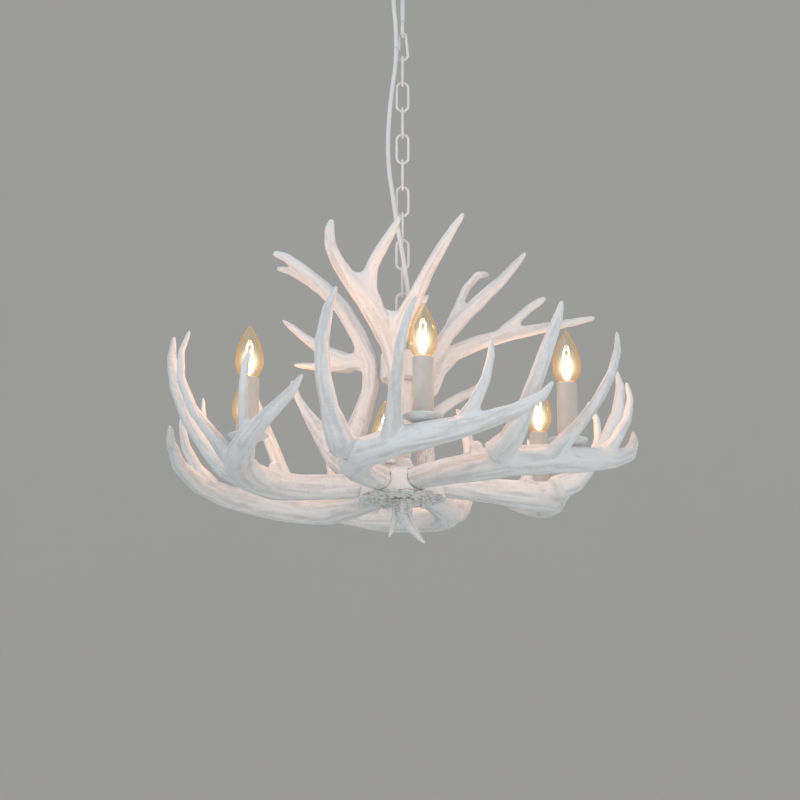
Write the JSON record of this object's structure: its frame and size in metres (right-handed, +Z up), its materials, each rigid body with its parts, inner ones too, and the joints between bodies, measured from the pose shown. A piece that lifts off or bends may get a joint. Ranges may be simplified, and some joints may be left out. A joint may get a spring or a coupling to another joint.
{
  "type": "chandelier",
  "caption": "White antler chandelier: two tiers of cast antlers on turned hubs, candle lights on the lower tier, hung on a chain from a ceiling rose.",
  "frame": {"origin": "on the ceiling, in the middle of the two strap screws and on the axis of the light", "axes": "+Z up into the ceiling, -Y to the front of the light as pictured, +X to its right"},
  "size_m": [0.5941, 0.6294, 0.781],
  "materials": {
    "resin": "cast resin, satin off-white, antler grain",
    "white_paint": "gloss white powder coat",
    "white_plastic": "moulded white plastic",
    "flex": "round white PVC flex",
    "zinc": "bright zinc plated steel",
    "terminal_plastic": "translucent moulded plastic",
    "holder_plastic": "moulded lampholder",
    "sleeve": "thin translucent white sleeve",
    "clear_glass": "clear blown glass, lit",
    "cap_metal": "small screw cap",
    "filament": "glowing filament on a glass stem"
  },
  "bodies": {
    "ceiling": {"ceiling_strap": "zinc", "ceiling_rose": "white_paint", "eye_hook": "white_paint", "rose_nut": "white_paint", "cable_bush": "white_plastic", "terminal_block": "terminal_plastic"},
    "quick_link": {"pear_link": "white_paint", "pear_nut": "white_paint", "flex_upper": "flex"},
    "pendant": {"chain_links_side": "white_paint", "chain_links_front": "white_paint", "top_loop": "white_paint", "flex_bush": "white_plastic", "flex_lower": "flex", "upper_hub": "resin", "column": "resin", "centre_rod": "zinc", "lower_hub": "resin", "finial": "resin", "foot_screws": "zinc", "lower_antler_1": "resin", "lower_antler_2": "resin", "lower_antler_3": "resin", "lower_antler_4": "resin", "lower_antler_5": "resin", "lower_antler_6": "resin", "upper_antler_front": "resin", "upper_antler_left": "resin", "upper_antler_right": "resin", "drip_cups": "resin", "candle_nipples": "zinc", "lampholders": "holder_plastic", "candle_sleeves": "sleeve"},
    "bulb_cap_1": {"bulb_cap_1": "cap_metal"},
    "bulb_glass_1": {"bulb_glass_1": "clear_glass", "bulb_filament_1": "filament"},
    "bulb_cap_2": {"bulb_cap_2": "cap_metal"},
    "bulb_glass_2": {"bulb_glass_2": "clear_glass", "bulb_filament_2": "filament"},
    "bulb_cap_3": {"bulb_cap_3": "cap_metal"},
    "bulb_glass_3": {"bulb_glass_3": "clear_glass", "bulb_filament_3": "filament"},
    "bulb_cap_4": {"bulb_cap_4": "cap_metal"},
    "bulb_glass_4": {"bulb_glass_4": "clear_glass", "bulb_filament_4": "filament"},
    "bulb_cap_5": {"bulb_cap_5": "cap_metal"},
    "bulb_glass_5": {"bulb_glass_5": "clear_glass", "bulb_filament_5": "filament"},
    "bulb_cap_6": {"bulb_cap_6": "cap_metal"},
    "bulb_glass_6": {"bulb_glass_6": "clear_glass", "bulb_filament_6": "filament"}
  },
  "joints": [
    {"name": "swing_left_right", "type": "hinge", "parent": "ceiling", "child": "quick_link", "pos_m": [0, 0, -0.0985], "axis": [0, 1, 0], "range_deg": [-10, 10], "deforming": ["flex_upper"]},
    {"name": "swing_front_back", "type": "hinge", "parent": "quick_link", "child": "pendant", "pos_m": [0, 0, -0.1321], "axis": [1, 0, 0], "range_deg": [-10, 10], "deforming": ["flex_lower"]},
    {"name": "bulb_lift_1", "type": "slide", "parent": "pendant", "child": "bulb_cap_1", "axis": [0, 0, 1], "range_m": [0, 0.0141]},
    {"name": "bulb_turn_1", "type": "hinge", "parent": "bulb_cap_1", "child": "bulb_glass_1", "pos_m": [0.02394, -0.22775, -0.58], "axis": [0, 0, 1], "range_deg": [0, 1800.5]},
    {"name": "bulb_lift_2", "type": "slide", "parent": "pendant", "child": "bulb_cap_2", "axis": [0, 0, 1], "range_m": [0, 0.0141]},
    {"name": "bulb_turn_2", "type": "hinge", "parent": "bulb_cap_2", "child": "bulb_glass_2", "pos_m": [0.20029, -0.11102, -0.58], "axis": [0, 0, 1], "range_deg": [0, 1800.5]},
    {"name": "bulb_lift_3", "type": "slide", "parent": "pendant", "child": "bulb_cap_3", "axis": [0, 0, 1], "range_m": [0, 0.0141]},
    {"name": "bulb_turn_3", "type": "hinge", "parent": "bulb_cap_3", "child": "bulb_glass_3", "pos_m": [0.18045, 0.14099, -0.58], "axis": [0, 0, 1], "range_deg": [0, 1800.5]},
    {"name": "bulb_lift_4", "type": "slide", "parent": "pendant", "child": "bulb_cap_4", "axis": [0, 0, 1], "range_m": [0, 0.0141]},
    {"name": "bulb_turn_4", "type": "hinge", "parent": "bulb_cap_4", "child": "bulb_glass_4", "pos_m": [-0.02394, 0.22775, -0.58], "axis": [0, 0, 1], "range_deg": [0, 1800.5]},
    {"name": "bulb_lift_5", "type": "slide", "parent": "pendant", "child": "bulb_cap_5", "axis": [0, 0, 1], "range_m": [0, 0.0141]},
    {"name": "bulb_turn_5", "type": "hinge", "parent": "bulb_cap_5", "child": "bulb_glass_5", "pos_m": [-0.20582, 0.10039, -0.58], "axis": [0, 0, 1], "range_deg": [0, 1800.5]},
    {"name": "bulb_lift_6", "type": "slide", "parent": "pendant", "child": "bulb_cap_6", "axis": [0, 0, 1], "range_m": [0, 0.0141]},
    {"name": "bulb_turn_6", "type": "hinge", "parent": "bulb_cap_6", "child": "bulb_glass_6", "pos_m": [-0.18527, -0.1346, -0.58], "axis": [0, 0, 1], "range_deg": [0, 1800.5]}
  ],
  "couplings": [
    {"joint": "bulb_turn_1", "follows": "bulb_lift_1", "rad_per_m": 2228.1},
    {"joint": "bulb_turn_2", "follows": "bulb_lift_2", "rad_per_m": 2228.1},
    {"joint": "bulb_turn_3", "follows": "bulb_lift_3", "rad_per_m": 2228.1},
    {"joint": "bulb_turn_4", "follows": "bulb_lift_4", "rad_per_m": 2228.1},
    {"joint": "bulb_turn_5", "follows": "bulb_lift_5", "rad_per_m": 2228.1},
    {"joint": "bulb_turn_6", "follows": "bulb_lift_6", "rad_per_m": 2228.1}
  ]
}
